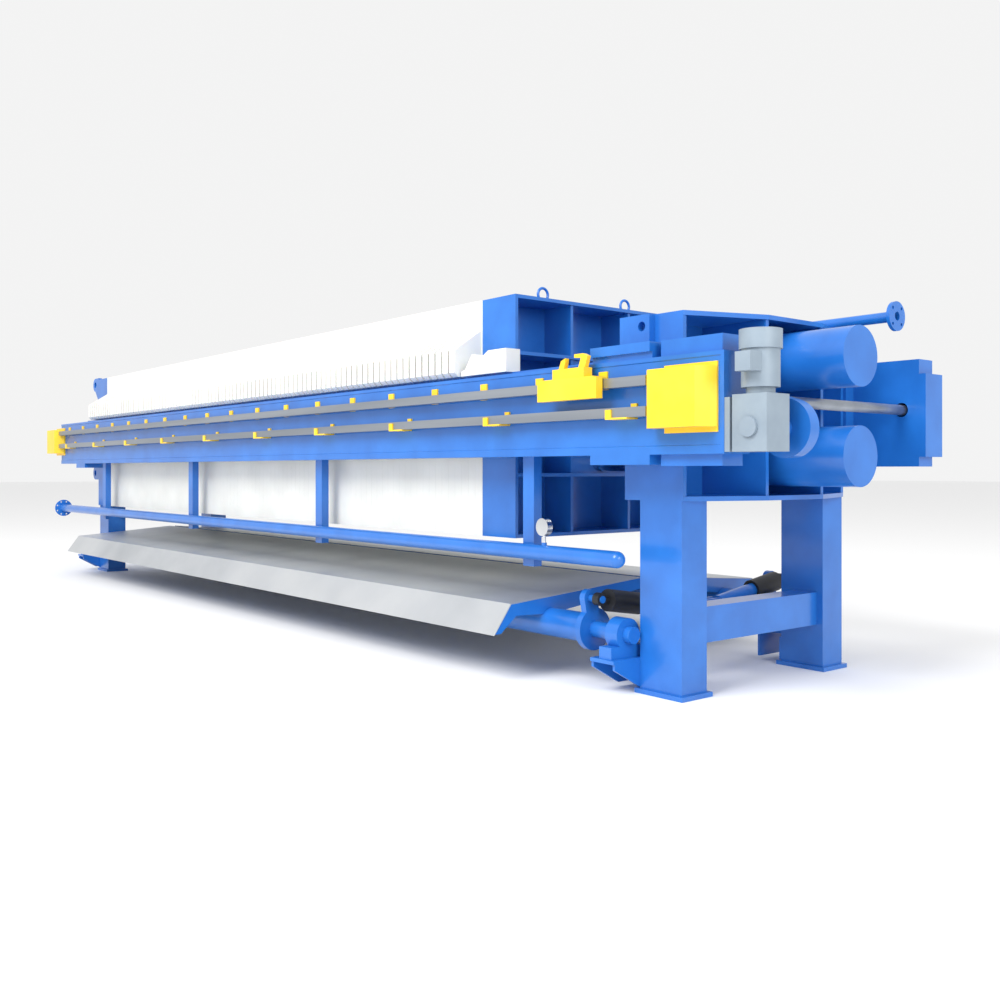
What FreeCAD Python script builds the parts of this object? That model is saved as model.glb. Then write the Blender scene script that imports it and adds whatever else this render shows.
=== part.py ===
"""Plate filter press with side beams, moving plate shifter, squeeze manifold and twin drip-tray flaps.

X runs along the beams towards the closing cylinders, Y across the press, Z up. The origin is on the floor,
below the middle of the machine. All sizes are millimetres and live in the spreadsheet "dims".
"""
import math
import os
import re

import FreeCAD
import Part
import Sketcher
from FreeCAD import Placement, Rotation, Vector

SIZES = {
    # filter pack
    "plate_size": 1500, "plate_count": 97, "plate_pitch": 73.2, "plate_gap": 0.7,
    "press_axis": 1525,
    "handle_reach": 215, "handle_low": 1778, "handle_outer_top": 1945, "handle_root_top": 2085,
    "handle_thick": 56, "handle_foot": 26,
    # thrust head and its legs
    "head_thick": 310, "head_face": -4182, "head_side_plate": 30,
    "head_leg_x": -4342, "leg_long": 290, "leg_wide": 200, "leg_outer": 732, "foot_plate": 25, "foot_margin": 22,
    "lug_radius": 78, "lug_hole": 35, "seat_lug_hole": 26, "lug_plate": 40, "lug_reach": 230,
    "feed_bore": 62.5, "feed_flange": 142.5, "feed_flange_thick": 24, "feed_pcd": 250, "feed_reach": 140,
    # side beams
    "beam_left": -5082, "beam_right": 5018, "beam_outer": 1006, "beam_wide": 190, "beam_low": 1270,
    "beam_tall": 480, "flange_thick": 40, "web_step": 4, "wear_strip": 28, "wear_wide": 60,
    "end_pad_start": 4618, "end_pad_high": 85, "end_pad_low": 56, "end_pad_wide": 150,
    "strap_start": 4158, "strap_long": 420, "strap_thick": 50, "end_plate": 20,
    # cylinder seat
    "seat_start": 4148, "seat_side_end": 4560, "seat_mid_end": 4738, "seat_mid_half": 250,
    "seat_half": 732, "seat_tall": 986, "seat_plate": 25, "seat_web": 240, "seat_floor_inset": 150,
    "seat_leg_x": 4405, "stretcher_low": 272, "stretcher_tall": 193, "stretcher_wide": 160, "stretcher_inset": 42,
    # closing cylinders
    "drum_radius": 160, "drum_spacing": 520, "drum_end": 5123, "drum_start": 4188, "rod_radius": 80,
    "stroke": 750, "gland_thick": 40, "gland_radius": 200, "rod_clear": 0.3, "rod_engage": 60, "bore_bottom": 20,
    # follower
    "follower_thick": 325, "follower_plate": 60, "follower_wall": 22, "shelf_high": 1905, "shelf_low": 1152,
    "rib_half": 275, "shoe_long": 440, "shoe_tall": 140, "shoe_wide": 110, "shoe_gap": 66,
    "eye_radius": 42, "eye_bar": 9, "eye_place": 380,
    # plate shifter
    "rail_size": 50, "rail_gap": 24, "rail_upper": 1634, "rail_lower": 1482, "rail_left": -4932,
    "rail_right": 4618, "hook_pitch": 1000, "hook_first": 4348, "hook_count": 10, "hook_long": 150,
    "hook_thick": 8, "clip_long": 60, "cover_long": 385, "cover_tall": 330, "cover_deep": 112,
    "cover_bevel": 46, "cover_low": 1372, "cover_flange": 4, "cover_tab": 24,
    "carriage_long": 450, "carriage_x": 4103, "carriage_low": 1560, "carriage_tall": 108,
    "carriage_deep": 46, "carriage_gap": 5, "slide_gap": 0.3, "gripper_long": 240, "gripper_tall": 55, "claw_tall": 75,
    "shifter_travel": 8200, "cross_shaft_x": 4888, "cross_shaft_z": 1545, "cross_shaft_radius": 30,
    "shaft_clear": 12, "shaft_fit": 0.08, "shaft_bearing": 40,
    # drive
    "drive_x": 5177, "drive_y": 918, "drive_z": 1390, "reducer_low": 1278, "reducer_tall": 262,
    "reducer_wide": 190, "reducer_deep": 170, "motor_radius": 88, "motor_low": 1570, "motor_tall": 175,
    "fan_radius": 98, "fan_tall": 90, "terminal_box": 84, "terminal_tall": 88,
    "terminal_rise": 68, "terminal_shift": 28, "terminal_proud": 64, "guard_radius": 140, "guard_small": 75,
    "guard_wide": 70, "guard_y": 700, "bracket_plate": 30,
    # squeeze manifold
    "manifold_radius": 44.5, "manifold_y": 955, "manifold_z": 727, "manifold_left": -5172,
    "manifold_right": 4348, "manifold_flange": 100, "manifold_flange_thick": 20, "manifold_bore": 40,
    "hanger_size": 95, "hanger_wide": 60, "hanger_right": 3503, "hanger_step": 2450, "hanger_count": 4, "hanger_drop": 45,
    "gauge_x": 3738, "gauge_radius": 50, "gauge_deep": 38, "gauge_boss": 14, "gauge_z": 873,
    # service pipe on the seat
    "service_radius": 30.15, "service_bore": 25, "service_y": 508, "service_flange": 82.5,
    "service_flange_thick": 20, "service_pcd": 125, "service_hole": 9, "service_end": 5038,
    "service_start": 4218,
    # drip-tray flaps
    "tray_left": -4102, "tray_right": 3618, "ridge_z": 520, "ridge_gap": 62, "fold_y": 1100, "fold_z": 440,
    "lip_y": 1222, "lip_z": 272, "tray_sheet": 4, "frame_tall": 70, "frame_thick": 12,
    "hinge_y": 790, "hinge_z": 312, "tube_radius": 82, "shaft_radius": 45, "bearing_gap": 77, "bracket_long": 175,
    "bearing_long": 90, "bearing_radius": 88, "bearing_foot": 260, "bearing_foot_tall": 34,
    "lever_x": 3958, "lever_thick": 40, "lever_radius": 178, "lever_lean": 11.5, "lever_hub": 118,
    "lever_eye": 48, "pin_radius": 20, "boot_side_gap": 6,
    "cylinder_base_y": 110, "cylinder_base_z": 375, "barrel_radius": 42, "barrel_bore": 34,
    "flap_rod_radius": 22, "boot_radius": 62, "boot_bore": 47, "boot_long": 250, "eye_half": 22,
    "lug_half": 15, "cheek": 14, "cheek_gap": 8, "base_pin": 12, "base_play": 7,
}

DOC = FreeCAD.newDocument("filter_press")
SHEET = DOC.addObject("Spreadsheet::Sheet", "dims")
for line_number, (alias, number) in enumerate(SIZES.items(), 1):
    SHEET.set(f"A{line_number}", alias)
    SHEET.set(f"B{line_number}", str(number))
    SHEET.setAlias(f"B{line_number}", alias)
DOC.recompute()

NODES = []
SIDES = {"near": -1, "far": 1}
ALONG = {"X": Rotation(Vector(0, 1, 0), 90), "Y": Rotation(Vector(1, 0, 0), -90), "Z": Rotation()}
PLANES = {"YZ": "YZ_Plane", "XZ": "XZ_Plane", "XY": "XY_Plane"}


def size(alias):
    """Value of one cell, for the few shapes that are computed in code."""
    return float(SHEET.get(alias))


def formula(text):
    """Expression over the sheet, from plain alias names."""
    return re.sub(r"[a-z]\w*", lambda word: "dims." + word[0] if word[0] in SIZES else word[0], str(text))


def place(item, x, y, z):
    for axis, text in zip("xyz", (x, y, z)):
        item.setExpression("Placement.Base." + axis, formula(text))
    return item


def box(x, y, z, length, width, height):
    """Plate or bar from its low corner."""
    item = DOC.addObject("Part::Box", "bar")
    item.setExpression("Length", formula(length))
    item.setExpression("Width", formula(width))
    item.setExpression("Height", formula(height))
    return place(item, x, y, z)


def rod(axis, x, y, z, radius, length):
    """Round bar from its low end along one axis."""
    item = DOC.addObject("Part::Cylinder", "round")
    item.Placement = Placement(Vector(), ALONG[axis])
    item.setExpression("Radius", formula(radius))
    item.setExpression("Height", formula(length))
    return place(item, x, y, z)


def sketch_on(body, plane, points):
    """Closed outline through the points, every corner held by two driven distances."""
    sketch = body.newObject("Sketcher::SketchObject", "outline")
    face = next(item for item in body.Origin.OriginFeatures if item.Role == PLANES[plane])
    sketch.AttachmentSupport = (face, "")
    sketch.MapMode = "FlatFace"
    count = len(points)
    start = [Vector(100 * math.cos(math.tau * k / count), 100 * math.sin(math.tau * k / count), 0)
             for k in range(count)]
    for k in range(count):
        sketch.addGeometry(Part.LineSegment(start[k], start[(k + 1) % count]), False)
    for k in range(count):
        sketch.addConstraint(Sketcher.Constraint("Coincident", k, 2, (k + 1) % count, 1))
    for k, corner in enumerate(points):
        for direction, text in zip(("DistanceX", "DistanceY"), corner):
            index = sketch.addConstraint(Sketcher.Constraint(direction, -1, 1, k, 1, 1.0))
            sketch.setExpression(f"Constraints[{index}]", formula(text))
    return sketch


def prism(plane, points, thick, x=0, y=0, z=0, middle=False):
    """Outline on a plane padded along its normal: YZ towards +X, XZ towards +Y, XY towards +Z."""
    body = DOC.addObject("PartDesign::Body", "profile")
    pad = body.newObject("PartDesign::Pad", "pad")
    pad.Profile = sketch_on(body, plane, points)
    pad.Profile[0].Visibility = False
    pad.Reversed = plane == "XZ"
    pad.Midplane = middle
    pad.setExpression("Length", formula(thick))
    return place(body, x, y, z)


def fuse(*items):
    item = DOC.addObject("Part::MultiFuse", "joined")
    item.Shapes = list(items)
    return item


def cut(base, *tools):
    item = DOC.addObject("Part::Cut", "cut")
    item.Base = base
    item.Tool = tools[0] if len(tools) == 1 else group(*tools)
    return item


def group(*items):
    item = DOC.addObject("Part::Compound", "group")
    item.Links = list(items)
    return item


def mirrored(item):
    """The same piece on the far side of the middle plane."""
    copy = DOC.addObject("Part::Mirroring", "mirrored")
    copy.Source = item
    copy.Normal = Vector(0, 1, 0)
    return copy


def row(item, count, step):
    """Copies of one piece spaced along X, as solids that don't touch."""
    DOC.recompute()
    copies = []
    for number in range(int(count)):
        shape = item.Shape.copy()
        shape.translate(Vector(number * step, 0, 0))
        copies.append(shape)
    feature = DOC.addObject("Part::Feature", "copies")
    feature.Shape = Part.makeCompound(copies)
    return feature


def node(label, item):
    item.Label = label
    NODES.append(item)
    return item


def pair(*items):
    """Near and far copies of some pieces in one group."""
    return group(*items, *[mirrored(item) for item in items])


def both_sides(label, item):
    node(label + "_near", item)
    return node(label + "_far", mirrored(item))


PLATE_LOW = "(press_axis - plate_size / 2)"
PLATE_TOP = "(press_axis + plate_size / 2)"
BEAM_TOP = "(beam_low + beam_tall)"
BEAM_INNER = "(beam_outer - beam_wide)"
PACK_LONG = "(plate_count * plate_pitch)"
FOLLOWER_FACE = "(head_face + " + PACK_LONG + ")"
SEAT_LOW = "(press_axis - seat_tall / 2)"
SEAT_TOP = "(press_axis + seat_tall / 2)"
BEARING_RIGHT = "(seat_leg_x - leg_long / 2 - bearing_gap)"
BEARING_LEFT = "(head_leg_x - leg_long / 2 - bearing_gap)"


def side_beams():
    """Box girder whose outer web stands a little inside its flanges, with a wear strip on top."""
    web = "(beam_outer - web_step)"
    profile = [("-beam_outer", "0"), ("-" + BEAM_INNER, "0"), ("-" + BEAM_INNER, "beam_tall"),
               ("-beam_outer", "beam_tall"), ("-beam_outer", "beam_tall - flange_thick / 2"),
               ("-" + web, "beam_tall - flange_thick / 2 - web_step"), ("-" + web, "flange_thick + web_step"),
               ("-beam_outer", "flange_thick")]
    girder = prism("YZ", profile, "beam_right - beam_left", "beam_left", 0, "beam_low")
    strip = box("head_face - head_thick", "-" + BEAM_INNER + " - wear_wide", BEAM_TOP,
                "strap_start - 30 - head_face + head_thick", "wear_wide", "wear_strip")
    bearing = rod("Y", "cross_shaft_x", "-beam_outer - 1", "cross_shaft_z", "cross_shaft_radius + shaft_fit",
                  "beam_wide + 2")
    passage = rod("Y", "cross_shaft_x", "-beam_outer + shaft_bearing", "cross_shaft_z",
                  "cross_shaft_radius + shaft_clear", "beam_wide - shaft_bearing + 1")
    both_sides("side_beam", cut(fuse(girder, strip), bearing, passage))


def beam_ends():
    """Pads above and below each beam end, end plate, and the straps that key the seat to the beams."""
    pad_y = "-" + BEAM_INNER + " - end_pad_wide"
    pads = [box("end_pad_start", pad_y, BEAM_TOP, "beam_right - 20 - end_pad_start", "end_pad_wide",
                "end_pad_high"),
            box("end_pad_start", pad_y, "beam_low - end_pad_low", "beam_right - 20 - end_pad_start",
                "end_pad_wide", "end_pad_low"),
            box("beam_right", "-beam_outer", "beam_low", "end_plate", "beam_wide", "beam_tall"),
            box("strap_start", "-beam_outer", BEAM_TOP + " + 34", "strap_long",
                "beam_outer - seat_half", "strap_thick"),
            box("strap_start", "-beam_outer", "beam_low - strap_thick", "strap_long",
                "beam_outer - seat_half", "strap_thick"),
            box("strap_start", "-" + BEAM_INNER, "beam_low", "strap_long",
                BEAM_INNER + " - seat_half", "beam_tall + 34"),
            box("strap_start", "-beam_outer + 20", BEAM_TOP, "strap_long", "beam_wide - 20", "34")]
    node("beam_ends", pair(*pads[:3], fuse(*pads[3:])))


def thrust_head():
    """Fixed head with feed inlet, two pairs of lugs and the ledges that carry the beams."""
    block = box("head_face - head_thick", "-plate_size / 2", PLATE_LOW, "head_thick", "plate_size",
                "plate_size")
    tie = box("head_face - head_thick", "-beam_outer", "beam_low - strap_thick", "head_thick",
              "2 * beam_outer", "strap_thick")
    link = box("head_face - head_thick", "-" + BEAM_INNER, "beam_low", "head_thick",
               "2 * " + BEAM_INNER, "beam_tall")
    inlet_x = "head_face - head_thick - feed_reach"
    inlet = fuse(rod("X", inlet_x, 0, "press_axis", "feed_bore + 8", "feed_reach + 10"),
                 rod("X", inlet_x, 0, "press_axis", "feed_flange", "feed_flange_thick"))
    bore = rod("X", inlet_x + " - 1", 0, "press_axis", "feed_bore", "feed_reach + head_thick + 2")
    drills = bolt_circle(inlet_x, "press_axis", 0, "feed_pcd", 11, 8)
    node("thrust_head", cut(fuse(block, tie, link, inlet), bore, *drills))


def bolt_circle(x, z, y, pcd, radius, count):
    """Drills along X on a pitch circle, straddling the vertical."""
    drills = []
    for number in range(count):
        angle = math.tau * (number + 0.5) / count
        drill = rod("X", str(x) + " - 1", f"{y} + {math.sin(angle):.9f} * {pcd} / 2",
                    f"{z} + {math.cos(angle):.9f} * {pcd} / 2", radius, "feed_flange_thick + 2")
        drills.append(drill)
    return drills


def leg(centre_x, top):
    """Box column on a foot plate; near side."""
    column = box(f"{centre_x} - leg_long / 2", "-leg_outer", "foot_plate", "leg_long", "leg_wide",
                 f"{top} - foot_plate")
    foot = box(f"{centre_x} - leg_long / 2 - foot_margin", "-leg_outer - foot_margin", 0,
               "leg_long + 2 * foot_margin", "leg_wide + 2 * foot_margin", "foot_plate")
    return fuse(column, foot)


def bearing_bracket(leg_x):
    """Gusseted shelf on the -X face of a leg that carries a flap bearing; near side."""
    shelf_z = "(hinge_z - bearing_radius - bearing_foot_tall - 2)"
    low_x = f"({leg_x} - leg_long / 2 - bracket_long)"
    shelf = box(low_x, "-hinge_y - bearing_foot / 2 - 15", shelf_z + " - 20",
                "bracket_long", "bearing_foot + 30", "20")
    outline = [("-hinge_y - bearing_foot / 2 - 5", shelf_z + " - 20"), ("-leg_outer + leg_wide", shelf_z + " - 20"),
               ("-leg_outer + leg_wide", "foot_plate + 5"), ("-leg_outer", "foot_plate + 5"),
               ("-hinge_y - bearing_foot / 2 - 5", shelf_z + " - 50")]
    gussets = [prism("YZ", outline, "16", f"{low_x} + {offset}") for offset in ("0", "bracket_long - 16")]
    return fuse(shelf, *gussets)


def legs_and_stretcher():
    both_sides("thrust_leg", fuse(leg("head_leg_x", PLATE_LOW), bearing_bracket("head_leg_x")))
    both_sides("seat_leg", fuse(leg("seat_leg_x", SEAT_LOW), bearing_bracket("seat_leg_x")))
    node("leg_stretcher", box("seat_leg_x + leg_long / 2 - stretcher_inset - stretcher_wide",
                              "-leg_outer + leg_wide", "stretcher_low", "stretcher_wide",
                              "2 * (leg_outer - leg_wide)", "stretcher_tall"))


def cylinder_seat():
    """Open-celled weldment: front plate, floor and roof whose rear edge bows out round the cylinders."""
    outline = [("seat_start", "-seat_half"), ("seat_side_end", "-seat_half"), ("seat_mid_end", "-seat_mid_half"),
               ("seat_mid_end", "seat_mid_half"), ("seat_side_end", "seat_half"), ("seat_start", "seat_half")]
    floor = prism("XY", outline, "seat_plate", 0, 0, SEAT_LOW)
    roof = prism("XY", outline, "seat_plate", 0, 0, SEAT_TOP + " - seat_plate")
    front = box("seat_start", "-seat_half", SEAT_LOW, "seat_floor_inset", "2 * seat_half", "seat_tall")
    sides = [box("seat_start", y, SEAT_LOW, "seat_side_end - seat_start", "seat_plate", "seat_tall")
             for y in ("-seat_half", "seat_half - seat_plate")]
    webs = [box("seat_start", y, SEAT_LOW, "seat_mid_end - seat_start - 10", "seat_plate", "seat_tall")
            for y in ("-seat_web - seat_plate", "seat_web")]
    bores = [rod("X", "seat_start - 1", 0, z, "drum_radius + 1", "seat_mid_end - seat_start")
             for z in ("press_axis - drum_spacing / 2", "press_axis + drum_spacing / 2")]
    node("cylinder_seat", cut(fuse(floor, roof, front, *sides, *webs), *bores))


def lifting_lugs():
    """Two pairs of gusseted eyes behind the thrust head and one pair of eyes on the seat's sides."""
    root = "head_face - head_thick"
    centre = "head_face - head_thick - lug_reach / 2"
    lugs = []
    for height, rise in ((PLATE_TOP + " - 60", 1), ("(press_axis - 367)", -1)):
        outline = [(root, height + f" + {78 * rise}"), (centre, height + f" + {78 * rise}"),
                   (centre, height + f" - {78 * rise}"), (root, height + f" - {200 * rise}")]
        y = "-plate_size / 2"
        plate = prism("XZ", outline, "lug_plate", 0, y, 0)
        boss = rod("Y", centre, y, height, "lug_radius", "lug_plate")
        hole = rod("Y", centre, y + " - 1", height, "lug_hole", "lug_plate + 2")
        lugs.append(cut(fuse(plate, boss), hole))
    y = "-seat_half - lug_plate"
    plate = box("seat_start", y, SEAT_TOP + " - 155", "215", "lug_plate", "155")
    eye = rod("Y", "seat_start + 160", y + " - 1", SEAT_TOP + " - 62", "seat_lug_hole", "lug_plate + 2")
    lugs.append(cut(plate, eye))
    node("lifting_lugs", pair(*lugs))


def closing_cylinders():
    """Barrel with closed end drum, bored for the piston rod, and its gland ring on the seat."""
    cylinders = []
    for sign in ("+", "-"):
        axis_z = f"press_axis {sign} drum_spacing / 2"
        drum = fuse(rod("X", "drum_start", 0, axis_z, "drum_radius", "drum_end - drum_start"),
                    rod("X", "seat_start - gland_thick", 0, axis_z, "gland_radius", "gland_thick"),
                    rod("X", "seat_start - gland_thick", 0, axis_z, "drum_radius",
                        "drum_start - seat_start + gland_thick"))
        bore = rod("X", "seat_start - gland_thick - 1", 0, axis_z, "rod_radius + rod_clear",
                   "1 + rod_engage + stroke + bore_bottom")
        cylinders.append(cut(drum, bore))
    node("closing_cylinders", group(*cylinders))


def filter_pack():
    """Closed pack of plates, and a separate moulded handle at each side of every plate."""
    plate = box("head_face", "-plate_size / 2", PLATE_LOW, "plate_pitch - plate_gap", "plate_size",
                "plate_size")
    handle_low = BEAM_TOP + " + wear_strip"
    outline = [("-plate_size / 2", handle_low), ("-plate_size / 2 - handle_reach + handle_foot", handle_low),
               ("-plate_size / 2 - handle_reach", handle_low + " + handle_foot"),
               ("-plate_size / 2 - handle_reach", "handle_outer_top"),
               ("-plate_size / 2", "handle_root_top")]
    handle = prism("YZ", outline, "handle_thick", "head_face + 8")
    pitch, count = size("plate_pitch"), size("plate_count")
    node("filter_plates", row(plate, count, pitch))
    both_sides("plate_handles", row(handle, count, pitch))


def follower():
    """Moving head: pressing plate with an open-celled back, slide shoes, lifting eyes and piston rods."""
    face = FOLLOWER_FACE
    back = "follower_thick - follower_plate"
    plate = box(face, "-plate_size / 2", PLATE_LOW, "follower_plate", "plate_size", "plate_size")
    shell = cut(box(face, "-plate_size / 2", PLATE_LOW, "follower_thick", "plate_size", "plate_size"),
                box(face + " + follower_plate", "-plate_size / 2 + follower_wall", PLATE_LOW + " + follower_wall",
                    "follower_thick", "plate_size - 2 * follower_wall", "plate_size - 2 * follower_wall"))
    shelves = [box(face + " + follower_plate", "-plate_size / 2", z, back, "plate_size", "follower_wall")
               for z in ("shelf_high", "shelf_low")]
    ribs = [box(face + " + follower_plate", y, PLATE_LOW, back + " - 12", "follower_wall", "plate_size")
            for y in ("-rib_half", "rib_half - follower_wall")]
    hub = box(face + " + follower_plate", "-rib_half", "shelf_low", back + " - 25", "2 * rib_half",
              "shelf_high - shelf_low")
    node("follower", fuse(shell, *shelves, *ribs, hub))
    shoe_x = face + " + 6"
    shoe_y = "-plate_size / 2 - shoe_gap - shoe_wide"
    shoe_z = BEAM_TOP + " + wear_strip + 0.3"
    arm = box(face + " + 60", "-plate_size / 2 - shoe_gap", shoe_z, "follower_thick - 90", "shoe_gap", "110")
    shoe = prism("XZ", [("0", "0"), ("shoe_long", "0"), ("shoe_long", "shoe_tall"), ("shoe_long - 170", "shoe_tall"),
                        ("shoe_long - 215", "shoe_tall - 25"), ("shoe_long - 330", "shoe_tall - 10"),
                        ("40", "40"), ("0", "30")], "shoe_wide", shoe_x, shoe_y, shoe_z)
    node("follower_shoes", pair(fuse(arm, shoe)))
    rods = []
    for sign in ("+", "-"):
        rods.append(rod("X", face + " + follower_thick - 25", 0, f"press_axis {sign} drum_spacing / 2", "rod_radius",
                        "seat_start - gland_thick + rod_engage - " + face + " - follower_thick + 25"))
    node("piston_rods", group(*rods))
    eyes = []
    for y in ("-eye_place", "eye_place"):
        ring = DOC.addObject("Part::Torus", "eye")
        ring.setExpression("Radius1", formula("eye_radius"))
        ring.setExpression("Radius2", formula("eye_bar"))
        ring.Placement = Placement(Vector(), ALONG["X"])
        place(ring, face + " + follower_thick / 2", y, PLATE_TOP + " + eye_radius + 12")
        stem = rod("Z", face + " + follower_thick / 2", y, PLATE_TOP, 18, 16)
        eyes.append(fuse(ring, stem))
    node("follower_eyes", group(*eyes))


RAIL_BACK = "(beam_outer + rail_gap)"
RAIL_FACE = "(beam_outer + rail_gap + rail_size)"


def shifter_rails():
    """Two square rails beside each beam, with hooks under the lower one and clips behind the upper one."""
    rails = [box("rail_left", "-" + RAIL_FACE, f"{z} - rail_size / 2", "rail_right - rail_left", "rail_size",
                 "rail_size") for z in ("rail_upper", "rail_lower")]
    node("shifter_rails", pair(*rails))
    low = "rail_lower - rail_size / 2"
    tray = box("hook_first - hook_count * hook_pitch + hook_pitch", f"-{RAIL_FACE} - hook_thick", low + " - hook_thick",
               "hook_long", "rail_gap + rail_size + hook_thick", "hook_thick")
    lip = box("hook_first - hook_count * hook_pitch + hook_pitch", f"-{RAIL_FACE} - hook_thick", low, 40, "hook_thick", 42)
    back = box("hook_first - hook_count * hook_pitch + hook_pitch + hook_long - 40", "-beam_outer - hook_thick",
               low, 40, "hook_thick + web_step", "rail_size + 22")
    seat = box("hook_first - hook_count * hook_pitch + hook_pitch + hook_long - 40", "-" + RAIL_BACK,
               low + " + 8", 40, "rail_gap - hook_thick", "rail_size - 16")
    hook = fuse(tray, lip, back, seat)
    hooks = row(hook, size("hook_count"), size("hook_pitch"))
    clip_x = "hook_first - 120 - hook_count * hook_pitch + hook_pitch"
    clip = fuse(box(clip_x, "-beam_outer - 6", "rail_upper - rail_size / 2", "clip_long", "6 + web_step", "rail_size + 45"),
                box(clip_x, "-" + RAIL_BACK, "rail_upper - rail_size / 2 + 8", "clip_long", "rail_gap - 6",
                    "rail_size - 16"))
    clips = row(clip, 2 * size("hook_count") - 1, size("hook_pitch") / 2)
    node("rail_brackets", pair(hooks, clips))


def shifter_covers():
    """Folded covers over the chain wheels: bevelled box with two screwed tabs above and below."""
    for name, start in (("drive_cover", "rail_right"), ("idler_cover", "rail_left - cover_long")):
        deep = "(cover_deep + web_step)"
        flat = [("0", "0"), ("cover_long", "0"), ("cover_long", "-12"), ("cover_long - cover_bevel", "-" + deep),
                ("cover_bevel", "-" + deep), ("0", "-" + deep + " + cover_bevel")]
        hood = prism("XY", flat, "cover_tall - 2 * cover_tab", start, "-beam_outer + web_step",
                     "cover_low + cover_tab")
        flange = box(start + " + 60", "-beam_outer - cover_flange", "cover_low", "cover_long - 60",
                     "cover_flange + web_step", "cover_tall")
        hub = rod("Y", "cross_shaft_x", "-beam_outer - 60", "cross_shaft_z", "cross_shaft_radius + 14",
                  "61 + web_step")
        parts = fuse(hood, flange)
        node(name + "s", pair(cut(parts, hub) if name == "drive_cover" else parts))


def carriages():
    """Shifter carriage in front of the upper rail with a gripper body and two claws."""
    front = f"-{RAIL_FACE} - carriage_gap"
    start = "(carriage_x - carriage_long / 2)"
    shell = box(start, front + " - carriage_deep", "carriage_low", "carriage_long", "carriage_deep",
                "carriage_tall")
    bridge = box(start + " + 20", front + " - carriage_deep", "rail_upper + rail_size / 2 + carriage_gap",
                 "carriage_long - 40", "rail_size + carriage_deep + carriage_gap - 4", "10")
    gripper = box(start + " + 90", front + " - 18", "rail_upper + rail_size / 2 + carriage_gap + 10",
                  "gripper_long", "rail_size + 12", "gripper_tall")
    claw = [("0", "0"), ("50", "0"), ("70", "claw_tall * 0.8"), ("35", "claw_tall"), ("-30", "claw_tall"),
            ("-30", "claw_tall - 18"), ("20", "claw_tall - 22")]
    claws = [prism("XZ", claw, 26, start + " + 260", front + " + 10",
                   "rail_upper + rail_size / 2 + carriage_gap + 10 + gripper_tall"),
             prism("XZ", [("0", "0"), ("-42", "0"), ("-22", "claw_tall * 0.62"), ("12", "claw_tall * 0.8"), ("12", "claw_tall * 0.55")],
                   26, start + " + 150", front + " + 10", "rail_upper + rail_size / 2 + carriage_gap + 10 + gripper_tall")]
    pads = [box(start + f" + {place_x}", front, "rail_upper - rail_size / 2 + 5", 60, "carriage_gap - slide_gap",
                "rail_size - 10") for place_x in ("40", "carriage_long - 100")]
    pads += [box(start + f" + {place_x}", f"-{RAIL_FACE} + 5", "rail_upper + rail_size / 2 + slide_gap", 60,
                 "rail_size - 10", "carriage_gap - slide_gap") for place_x in ("40", "carriage_long - 100")]
    both_sides("carriage", fuse(shell, bridge, gripper, *claws, *pads))


def cross_shaft_and_drive():
    node("cross_shaft", rod("Y", "cross_shaft_x", "-beam_outer - 50", "cross_shaft_z", "cross_shaft_radius",
                            "2 * beam_outer + 100"))
    plate = box("beam_right + end_plate", "-drive_y - reducer_deep / 2", "reducer_low", "bracket_plate",
                "reducer_deep", "reducer_tall - 10")
    body = box("drive_x - reducer_wide / 2", "-drive_y - reducer_deep / 2", "reducer_low", "reducer_wide",
               "reducer_deep", "reducer_tall")
    neck = rod("Z", "drive_x", "-drive_y", "reducer_low + reducer_tall", "motor_radius - 22",
               "motor_low - reducer_low - reducer_tall")
    cap = rod("Y", "drive_x", "-drive_y - reducer_deep / 2 - 14", "drive_z", 46, 15)
    reach = box("beam_right + end_plate + bracket_plate", "-drive_y - 60", "reducer_low + 20",
                "drive_x - reducer_wide / 2 - beam_right - end_plate - bracket_plate", 120, "reducer_tall - 60")
    node("drive_reducer", fuse(plate, reach, body, neck, cap))
    motor = fuse(rod("Z", "drive_x", "-drive_y", "motor_low", "motor_radius", "motor_tall"),
                 rod("Z", "drive_x", "-drive_y", "motor_low + motor_tall", "fan_radius", "fan_tall"),
                 box("drive_x - terminal_shift", "-drive_y - motor_radius - terminal_proud",
                     "motor_low + terminal_rise", "terminal_box", "terminal_proud + motor_radius / 2",
                     "terminal_tall"))
    node("drive_motor", motor)
    # slanted chain guard, two arcs and their tangents in the plane of the chain
    DOC.recompute()
    big = Vector(size("drive_x"), 0, size("drive_z"))
    small = Vector(size("cross_shaft_x"), 0, size("cross_shaft_z"))
    big_r, small_r = size("guard_radius"), size("guard_small")
    line = small - big
    heading = math.atan2(line.z, line.x)
    spread = math.acos((big_r - small_r) / line.Length)

    def rim(centre, radius, angle):
        return centre + Vector(radius * math.cos(angle), 0, radius * math.sin(angle))
    top_big, top_small = (rim(big, big_r, heading - spread), rim(small, small_r, heading - spread))
    low_big, low_small = (rim(big, big_r, heading + spread), rim(small, small_r, heading + spread))
    edges = [Part.Arc(low_big, rim(big, big_r, heading + math.pi), top_big).toShape(),
             Part.LineSegment(top_big, top_small).toShape(),
             Part.Arc(top_small, rim(small, small_r, heading), low_small).toShape(),
             Part.LineSegment(low_small, low_big).toShape()]
    guard = DOC.addObject("Part::Feature", "guard")
    guard.Shape = Part.Face(Part.Wire(edges)).extrude(Vector(0, size("guard_wide"), 0))
    guard.Placement = Placement(Vector(0, -size("guard_y") - size("guard_wide") / 2, 0), Rotation())
    hole = rod("Y", "cross_shaft_x", "-guard_y - guard_wide", "cross_shaft_z", "cross_shaft_radius + shaft_clear",
               "2 * guard_wide")
    snout = rod("Y", "drive_x", "-drive_y + reducer_deep / 2", "drive_z", 40,
                "drive_y - reducer_deep / 2 - guard_y - guard_wide / 2")
    node("chain_guard", fuse(cut(guard, hole), snout))


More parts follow.
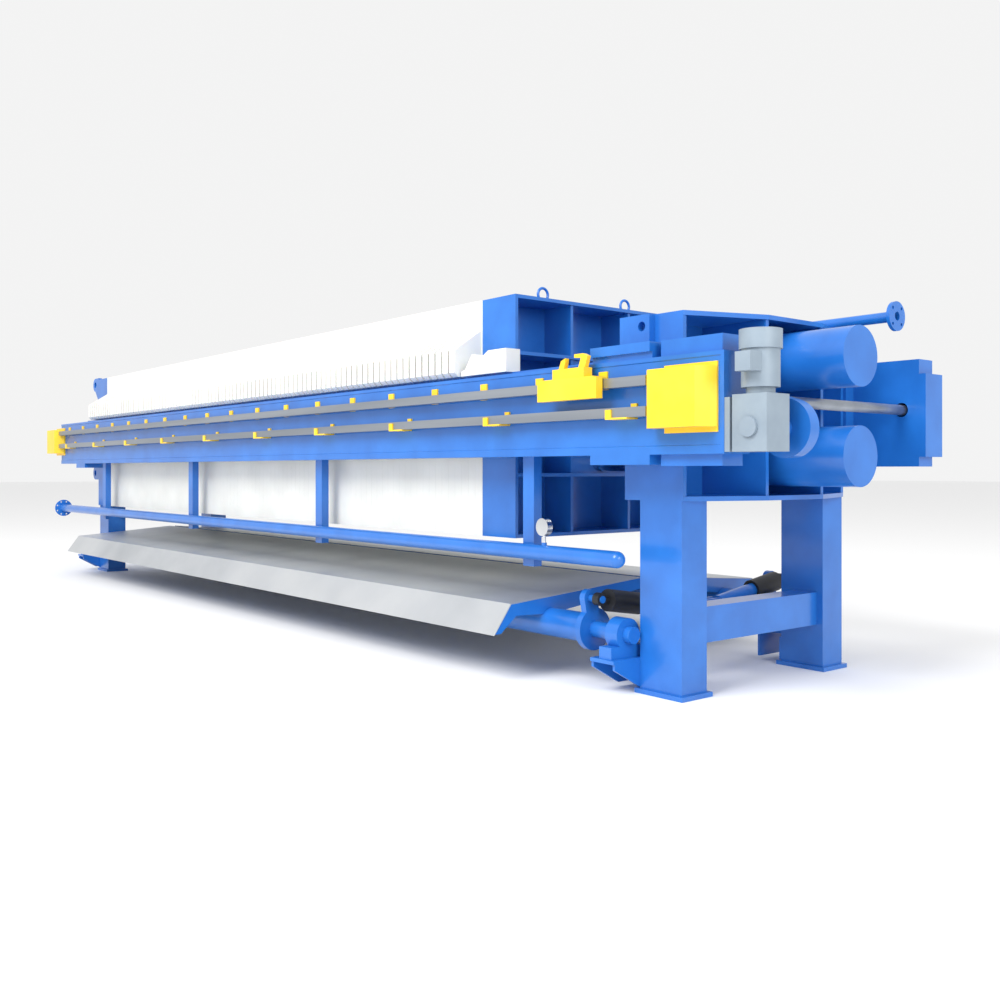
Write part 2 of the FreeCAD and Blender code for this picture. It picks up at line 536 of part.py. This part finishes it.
def squeeze_manifold():
    """DN80 header with a blank end, inlet flange, U-bolted to hangers below the near beam."""
    pipe = rod("X", "manifold_left", "-manifold_y", "manifold_z", "manifold_radius",
               "manifold_right - manifold_left - manifold_radius")
    end = DOC.addObject("Part::Sphere", "end")
    end.setExpression("Radius", formula("manifold_radius"))
    place(end, "manifold_right - manifold_radius", "-manifold_y", "manifold_z")
    flange = rod("X", "manifold_left", "-manifold_y", "manifold_z", "manifold_flange", "manifold_flange_thick")
    bore = rod("X", "manifold_left - 1", "-manifold_y", "manifold_z", "manifold_bore", "240")
    drills = bolt_circle("manifold_left", "manifold_z", "-manifold_y", "160", 9, 8)
    boss = rod("Z", "gauge_x", "-manifold_y", "manifold_z + manifold_radius - 10", 15, "gauge_boss + 10")
    node("squeeze_manifold", cut(fuse(pipe, end, flange, boss), bore, *drills))
    column = box("hanger_right - hanger_step * (hanger_count - 1)", "-manifold_y + manifold_radius",
                 "manifold_z - manifold_radius - hanger_drop", "hanger_size", "hanger_wide",
                 "beam_low - manifold_z + manifold_radius + hanger_drop")
    node("manifold_hangers", row(column, size("hanger_count"), size("hanger_step")))
    stem = rod("Z", "gauge_x", "-manifold_y", "manifold_z + manifold_radius + gauge_boss", 10,
               "gauge_z - manifold_z - manifold_radius - gauge_boss - gauge_radius + 12")
    dial = rod("Y", "gauge_x", "-manifold_y - gauge_deep / 2", "gauge_z", "gauge_radius", "gauge_deep")
    node("pressure_gauge", fuse(stem, dial))


def service_pipe():
    """Flanged DN50 stub lying on the seat's roof."""
    axis_z = SEAT_TOP + " + service_radius"
    pipe = fuse(rod("X", "service_start", "service_y", axis_z, "service_radius",
                    "service_end - service_start"),
                rod("X", "service_end - service_flange_thick", "service_y", axis_z, "service_flange",
                    "service_flange_thick"))
    bore = rod("X", "service_start + 40", "service_y", axis_z, "service_bore", "service_end - service_start")
    drills = []
    for number in range(4):
        angle = math.tau * (number + 0.5) / 4
        drills.append(rod("X", "service_end - service_flange_thick - 1",
                          f"service_y + {math.sin(angle):.9f} * service_pcd / 2",
                          f"{axis_z} + {math.cos(angle):.9f} * service_pcd / 2",
                          "service_hole", "service_flange_thick + 2"))
    node("service_pipe", cut(pipe, bore, *drills))


RIB_COUNT = 9


def drip_tray():
    """One leaf each side: folded sheet on end frames and ribs, hinge tube, lever and its cylinder."""
    top = [("-ridge_gap / 2", "ridge_z"), ("-fold_y", "fold_z"), ("-lip_y", "lip_z")]
    under = [("-lip_y + tray_sheet", "lip_z"), ("-fold_y + tray_sheet", "fold_z - tray_sheet"),
             ("-ridge_gap / 2", "ridge_z - tray_sheet")]
    both_sides("tray_leaf", prism("YZ", top + under, "tray_right - tray_left", "tray_left"))
    rib = [("-ridge_gap / 2", "ridge_z - tray_sheet - 0.3"), ("-fold_y + tray_sheet", "fold_z - tray_sheet - 0.5"),
           ("-lip_y + tray_sheet + 6", "lip_z + 6"), ("-lip_y + 50", "lip_z + 6"),
           ("-fold_y + 40", "fold_z - frame_tall"), ("-hinge_y", "fold_z - frame_tall - 10"),
           ("-ridge_gap / 2", "ridge_z - frame_tall")]
    step = f"(tray_right - tray_left - frame_thick) / {RIB_COUNT - 1}"
    hole = rod("X", "tray_left - 1", "-hinge_y", "hinge_z", "tube_radius + slide_gap",
               "tray_right - tray_left + 2")
    ribs = []
    for number in range(RIB_COUNT):
        plate = prism("YZ", rib, "frame_thick", f"tray_left + {number} * {step}")
        ribs.append(cut(plate, hole))
    both_sides("flap_ribs", group(*ribs))
    tube = rod("X", "tray_left", "-hinge_y", "hinge_z", "tube_radius", "lever_x - lever_thick / 2 - tray_left")
    shaft = rod("X", BEARING_LEFT + " - bearing_long", "-hinge_y", "hinge_z", "shaft_radius",
                BEARING_RIGHT + " - " + BEARING_LEFT + " + 2 * bearing_long")
    lean = math.radians(size("lever_lean"))
    eye_y = f"(-hinge_y - lever_radius * {math.sin(lean):.9f})"
    eye_z = f"(hinge_z + lever_radius * {math.cos(lean):.9f})"
    hub = rod("X", "lever_x - lever_thick / 2", "-hinge_y", "hinge_z", "lever_hub", "lever_thick")
    eye = rod("X", "lever_x - lever_thick / 2", eye_y, eye_z, "lever_eye", "lever_thick")
    arm = prism("YZ", [("-hinge_y - lever_eye", "hinge_z"), ("-hinge_y + lever_eye + 10", "hinge_z"),
                       (eye_y + " + lever_eye", eye_z), (eye_y + " - lever_eye", eye_z)],
                "lever_thick", "lever_x - lever_thick / 2")
    pin = rod("X", "lever_x", eye_y, eye_z, "pin_radius",
              "lever_thick / 2 + boot_side_gap + boot_radius + eye_half + 6")
    both_sides("flap_tube", fuse(tube, shaft, hub, eye, arm, pin))
    flap_cylinder(lean)


def flap_cylinder(lean):
    """Rod with its boot from the lever pin, and barrel towards a clevis in the middle of the press."""
    pin_y = -size("hinge_y") - size("lever_radius") * math.sin(lean)
    pin_z = size("hinge_z") + size("lever_radius") * math.cos(lean)
    base_y, base_z = -size("cylinder_base_y"), size("cylinder_base_z")
    length = math.hypot(base_y - pin_y, base_z - pin_z)
    middle_x = size("lever_x") + size("lever_thick") / 2 + size("boot_side_gap") + size("boot_radius")
    pin = Vector(middle_x, pin_y, pin_z)
    along = Vector(0, base_y - pin_y, base_z - pin_z).normalize()
    across = Vector(1, 0, 0)

    def tube(start, end, radius):
        return Part.makeCylinder(radius, end - start, pin + along * start, along)

    def cross_tube(distance, radius, half):
        return Part.makeCylinder(radius, 2 * half, pin + along * distance - across * half, across)
    boot_start, boot_end = 62, 62 + size("boot_long")
    boot = tube(boot_start, boot_end, size("boot_radius"))
    boot = boot.cut(tube(boot_start + 12, boot_end + 1, size("boot_bore")))
    barrel_start = boot_end - 30
    rod_end = barrel_start + 40
    piston = tube(rod_end - 20, rod_end, size("barrel_bore") - size("slide_gap"))
    steel = cross_tube(0, 36, size("eye_half")).fuse([tube(20, rod_end, size("flap_rod_radius")), piston])
    piece = DOC.addObject("Part::Feature", "flap_rod")
    piece.Shape = steel.fuse(boot).cut(cross_tube(0, size("pin_radius") + 0.1, size("eye_half") + 1))
    both_sides("flap_rod", piece)
    barrel = tube(barrel_start, length - 80, size("barrel_radius"))
    barrel = barrel.cut(tube(barrel_start - 1, length - 95, size("barrel_bore")))
    tail = tube(length - 81, length - 20, 17).fuse(cross_tube(length, 34, size("lug_half")))
    piece = DOC.addObject("Part::Feature", "flap_barrel")
    piece.Shape = barrel.fuse(tail).cut(cross_tube(length, size("base_pin") + size("base_play"), 40))
    both_sides("flap_barrel", piece)
    plane_x = "(lever_x + lever_thick / 2 + boot_side_gap + boot_radius)"
    outline = [("-cylinder_base_y - 60", "cylinder_base_z - 55"), ("cylinder_base_y + 60", "cylinder_base_z - 55"),
               ("cylinder_base_y + 60", "cylinder_base_z + 45"), ("-cylinder_base_y - 60", "cylinder_base_z + 45")]
    cheeks = [prism("YZ", outline, "cheek", plane_x + offset)
              for offset in (" - lug_half - cheek_gap - cheek", " + lug_half + cheek_gap")]
    start_x = plane_x + " + lug_half + cheek_gap"
    arms = [box(start_x, y, "cylinder_base_z - 55",
                f"seat_leg_x + leg_long / 2 - stretcher_inset - stretcher_wide - ({start_x})", 20, 90)
            for y in ("-cylinder_base_y - 60", "cylinder_base_y + 40")]
    floor = box(plane_x + " - lug_half - cheek_gap", "-cylinder_base_y - 60", "cylinder_base_z - 55",
                "2 * lug_half + 2 * cheek_gap", "2 * cylinder_base_y + 120", 8)
    pins = [rod("X", plane_x + " - lug_half - cheek_gap - cheek", y, "cylinder_base_z", "base_pin",
                "2 * (lug_half + cheek_gap + cheek)") for y in ("-cylinder_base_y", "cylinder_base_y")]
    node("flap_cylinder_bracket", fuse(*cheeks, *arms, floor, *pins))


def flap_bearings():
    """Split pillow blocks, one on each leg bracket."""
    blocks = []
    for x in (BEARING_RIGHT, BEARING_LEFT):
        start = f"{x} - bearing_long / 2"
        house = rod("X", start, "-hinge_y", "hinge_z", "bearing_radius", "bearing_long")
        foot = box(start, "-hinge_y - bearing_foot / 2", "hinge_z - bearing_radius - bearing_foot_tall - 2", "bearing_long",
                   "bearing_foot", "bearing_foot_tall + 30")
        bore = rod("X", start + " - 1", "-hinge_y", "hinge_z", "shaft_radius + shaft_fit", "bearing_long + 2")
        blocks.append(cut(fuse(house, foot), bore))
    node("flap_bearings", pair(*blocks))


def build():
    side_beams()
    beam_ends()
    thrust_head()
    legs_and_stretcher()
    cylinder_seat()
    lifting_lugs()
    closing_cylinders()
    filter_pack()
    follower()
    shifter_rails()
    shifter_covers()
    carriages()
    cross_shaft_and_drive()
    squeeze_manifold()
    service_pipe()
    drip_tray()
    flap_bearings()
    DOC.recompute()
    for item in DOC.Objects:
        if "Invalid" in item.State or "Error" in item.State:
            raise RuntimeError(f"{item.Label} failed: {item.State}")
    os.makedirs("parts", exist_ok=True)
    for item in NODES:
        if item.Shape.isNull() or not item.Shape.isValid():
            raise RuntimeError(f"{item.Label} has no valid shape")
        item.Shape.exportStep(f"parts/{item.Label}.step")
        print(item.Label, len(item.Shape.Solids), round(item.Shape.Volume / 1e9, 4))


build()
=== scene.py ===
"""Plate filter press: paint, plastic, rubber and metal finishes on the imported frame, with its stage."""
import math

import bpy
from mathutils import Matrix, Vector

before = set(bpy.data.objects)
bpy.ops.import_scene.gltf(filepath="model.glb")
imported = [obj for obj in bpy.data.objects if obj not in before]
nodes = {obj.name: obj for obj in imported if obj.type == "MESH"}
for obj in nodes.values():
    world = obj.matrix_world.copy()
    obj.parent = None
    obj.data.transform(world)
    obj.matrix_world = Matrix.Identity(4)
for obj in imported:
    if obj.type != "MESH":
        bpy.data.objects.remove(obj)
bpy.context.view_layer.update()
MM = 0.001
PATCH_PER_GRAIN = 40
FLOOR_SIZE = 200


# ---------------------------------------------------------------- finishes

def linear(code):
    """sRGB hex to the linear colour that shaders use."""
    parts = [int(code[k:k + 2], 16) / 255 for k in (1, 3, 5)]
    return tuple(c / 12.92 if c <= 0.04045 else ((c + 0.055) / 1.055) ** 2.4 for c in parts) + (1.0,)


def add(tree, kind, inputs=None, **settings):
    """Node with its settings; an input is a value, or a link given as another node's output."""
    made = tree.nodes.new(kind)
    for name, value in settings.items():
        setattr(made, name, value)
    for name, value in (inputs or {}).items():
        if isinstance(value, bpy.types.NodeSocket):
            tree.links.new(value, made.inputs[name])
        else:
            made.inputs[name].default_value = value
    return made


def ramp(tree, factor, stops):
    """Colour ramp through (position, hex) stops."""
    made = add(tree, "ShaderNodeValToRGB", {"Fac": factor})
    for number, (position, code) in enumerate(stops):
        stop = made.color_ramp.elements[number] if number < 2 else made.color_ramp.elements.new(position)
        stop.position = position
        stop.color = linear(code)
    return made.outputs["Color"]


def finish_of(name, stops, grain_mm, bump_mm, roughness, metallic=0.0, stretch=(1, 1, 1), **sockets):
    """Surface whose colour drifts over patches and whose bump follows a finer grain."""
    material = bpy.data.materials.new(name)
    material.use_nodes = True
    tree = material.node_tree
    shader = tree.nodes["Principled BSDF"]
    where = add(tree, "ShaderNodeTexCoord").outputs["Object"]
    laid = add(tree, "ShaderNodeMapping", {"Vector": where, "Scale": stretch}).outputs["Vector"]
    patch_size = grain_mm * PATCH_PER_GRAIN * MM
    patches = add(tree, "ShaderNodeTexNoise", {"Vector": laid, "Scale": 1 / patch_size, "Detail": 5.0})
    grain = add(tree, "ShaderNodeTexNoise", {"Vector": laid, "Scale": 1 / (grain_mm * MM), "Detail": 2.0})
    bump = add(tree, "ShaderNodeBump", {"Height": grain.outputs["Fac"], "Distance": bump_mm * MM,
                                        "Strength": 0.5})
    tree.links.new(ramp(tree, patches.outputs["Fac"], stops), shader.inputs["Base Color"])
    tree.links.new(bump.outputs["Normal"], shader.inputs["Normal"])
    shader.inputs["Roughness"].default_value = roughness
    shader.inputs["Metallic"].default_value = metallic
    for socket, value in sockets.items():
        shader.inputs[socket.replace("_", " ")].default_value = value
    return material


FINISHES = {
    # two-coat machine enamel sprayed on blasted plate: an even gloss with slight orange peel
    "blue_enamel": finish_of("blue_enamel", [(0.3, "#1a62b4"), (0.7, "#2270c6")], 6, 0.15, 0.32,
                             Coat_Weight=0.35, Coat_Roughness=0.12),
    "yellow_enamel": finish_of("yellow_enamel", [(0.3, "#efc118"), (0.7, "#f7cf2e")], 5, 0.15, 0.38,
                               Coat_Weight=0.2, Coat_Roughness=0.2),
    "grey_enamel": finish_of("grey_enamel", [(0.3, "#7d8b98"), (0.7, "#8a98a4")], 4, 0.3, 0.42),
    # moulded polypropylene: matt, slightly translucent white with a warm cast
    "polypropylene": finish_of("polypropylene", [(0.3, "#d9d9d3"), (0.7, "#e6e6e0")], 9, 0.3, 0.55,
                               Subsurface_Weight=0.05),
    # cold-drawn square tube, unpainted
    "drawn_steel": finish_of("drawn_steel", [(0.3, "#8d939b"), (0.7, "#a5abb3")], 3, 0.1, 0.36, 0.9,
                             (0.05, 1, 1)),
    # stainless sheet, washed down to a cloudy grey
    "tray_sheet": finish_of("tray_sheet", [(0.25, "#b0b4b8"), (0.5, "#c4c7ca"), (0.75, "#d2d4d5")], 22, 0.2,
                            0.42, 0.75),
    "black_rubber": finish_of("black_rubber", [(0.3, "#141518"), (0.7, "#1e2024")], 2, 0.2, 0.5),
    "chrome_rod": finish_of("chrome_rod", [(0.3, "#c9ccd0"), (0.7, "#d6d9dc")], 2, 0.02, 0.16, 1.0),
}
NODE_FINISH = {
    "filter_plates": "polypropylene", "plate_handles_near": "polypropylene",
    "plate_handles_far": "polypropylene", "follower_shoes": "polypropylene",
    "drive_covers": "yellow_enamel", "idler_covers": "yellow_enamel", "rail_brackets": "yellow_enamel",
    "carriage_near": "yellow_enamel", "carriage_far": "yellow_enamel", "shifter_rails": "drawn_steel",
    "cross_shaft": "drawn_steel", "piston_rods": "chrome_rod", "pressure_gauge": "chrome_rod",
    "tray_leaf_near": "tray_sheet", "tray_leaf_far": "tray_sheet", "drive_motor": "grey_enamel",
    "drive_reducer": "grey_enamel", "flap_rod_near": "black_rubber", "flap_rod_far": "black_rubber",
}
for name, piece in nodes.items():
    finish = FINISHES[NODE_FINISH.get(name, "blue_enamel")]
    piece.data.materials.clear()
    piece.data.materials.append(finish)


# ---------------------------------------------------------------- stage

def stage():
    """Pale floor, white surround, a broad soft light from the upper left and a weaker one on the right."""
    bpy.ops.mesh.primitive_plane_add(size=FLOOR_SIZE)
    floor = bpy.context.object
    floor.name = "floor"
    paper = bpy.data.materials.new("floor_paper")
    paper.use_nodes = True
    paper.node_tree.nodes["Principled BSDF"].inputs["Base Color"].default_value = linear("#f4f4f4")
    paper.node_tree.nodes["Principled BSDF"].inputs["Roughness"].default_value = 0.9
    floor.data.materials.append(paper)
    world = bpy.data.worlds.new("surround")
    world.use_nodes = True
    world.node_tree.nodes["Background"].inputs["Color"].default_value = linear("#ffffff")
    world.node_tree.nodes["Background"].inputs["Strength"].default_value = 0.9
    bpy.context.scene.world = world
    for name, place, aim, size, power in (("key", (4, -12, 11), (0, 0, 1), 8, 2200),
                                          ("side", (16, -3, 6), (4, 0, 1), 6, 700)):
        light = bpy.data.lights.new(name, "AREA")
        light.size = size
        light.energy = power
        lamp = bpy.data.objects.new(name, light)
        lamp.location = place
        lamp.rotation_euler = (Vector(aim) - Vector(place)).to_track_quat("-Z", "Y").to_euler()
        bpy.context.collection.objects.link(lamp)
    bpy.context.scene.view_settings.view_transform = "Standard"


def camera():
    """Level camera at standing height off the drive end."""
    lens = bpy.data.cameras.new("camera")
    lens.sensor_width = 36.0
    lens.lens = 36.89
    lens.shift_y = -0.030
    lens.clip_end = 200
    eye = bpy.data.objects.new("camera", lens)
    eye.location = (8.042, -4.800, 1.194)
    eye.rotation_euler = (math.radians(90), 0, math.radians(50.70))
    bpy.context.collection.objects.link(eye)
    bpy.context.scene.camera = eye


stage()
camera()
